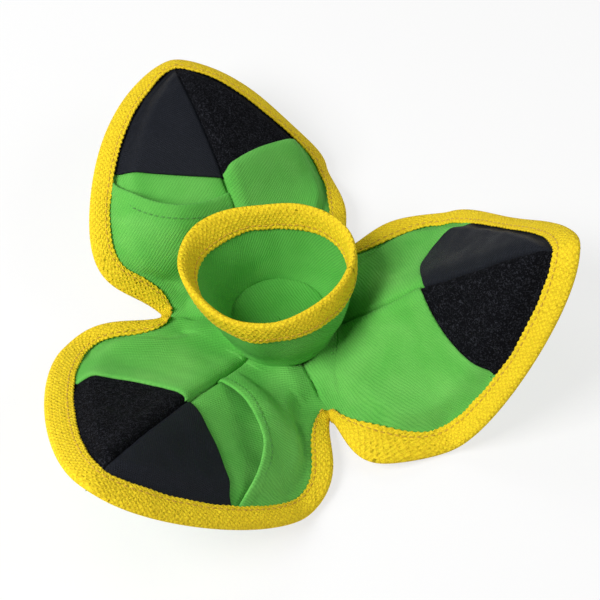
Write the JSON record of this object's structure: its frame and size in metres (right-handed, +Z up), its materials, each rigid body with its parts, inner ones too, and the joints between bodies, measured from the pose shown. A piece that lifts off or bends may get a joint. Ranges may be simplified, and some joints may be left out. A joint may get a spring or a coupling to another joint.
{
  "type": "fold-up treat hiding toy",
  "caption": "Soft canvas treat toy with padded petals that fold up round a small open bowl, with taped edges, treat pockets and hook-and-loop tips.",
  "frame": {"origin": "centre of the flat underside, below the bowl, on the surface that the toy rests on", "axes": "+Z up; +X outward along the ridge of petal_a; petal_b and petal_c follow at 120 and 240 degrees about +Z"},
  "size_m": [0.2382, 0.2727, 0.0913],
  "materials": {
    "canvas": "matt cotton canvas",
    "canvas_inner": "matt cotton canvas",
    "tape": "woven webbing",
    "hook": "fine hook tape",
    "loop": "fuzzy loop pile",
    "padding": "soft wadding"
  },
  "bodies": {
    "root": {"base_underside": "canvas", "base_padding": "padding", "base_cover": "canvas", "notch_binding_1": "tape", "notch_binding_2": "tape", "notch_binding_3": "tape", "bowl_wall": "canvas", "bowl_lining": "canvas_inner", "bowl_floor": "canvas_inner", "bowl_rim_binding": "tape"},
    "petal_a": {"petal_a_underside": "canvas", "petal_a_padding": "padding", "petal_a_cover": "canvas", "petal_a_loop_side_panel": "canvas", "petal_a_pocket": "canvas", "petal_a_hook_patch": "hook", "petal_a_loop_patch": "loop", "petal_a_binding": "tape"},
    "petal_b": {"petal_b_underside": "canvas", "petal_b_padding": "padding", "petal_b_cover": "canvas", "petal_b_loop_side_panel": "canvas", "petal_b_pocket": "canvas", "petal_b_hook_patch": "hook", "petal_b_loop_patch": "loop", "petal_b_binding": "tape"},
    "petal_c": {"petal_c_underside": "canvas", "petal_c_padding": "padding", "petal_c_cover": "canvas", "petal_c_loop_side_panel": "canvas", "petal_c_pocket": "canvas", "petal_c_hook_patch": "hook", "petal_c_loop_patch": "loop", "petal_c_binding": "tape"}
  },
  "joints": [
    {"name": "petal_a_fold", "type": "hinge", "parent": "root", "child": "petal_a", "pos_m": [0.031, 0, 0.0035], "axis": [0, -1, 0], "range_deg": [-8, 10]},
    {"name": "petal_b_fold", "type": "hinge", "parent": "root", "child": "petal_b", "pos_m": [-0.0155, 0.02685, 0.0035], "axis": [0.866, 0.5, 0], "range_deg": [-12, 4]},
    {"name": "petal_c_fold", "type": "hinge", "parent": "root", "child": "petal_c", "pos_m": [-0.0155, -0.02685, 0.0035], "axis": [-0.866, 0.5, 0], "range_deg": [-10, 25]}
  ]
}
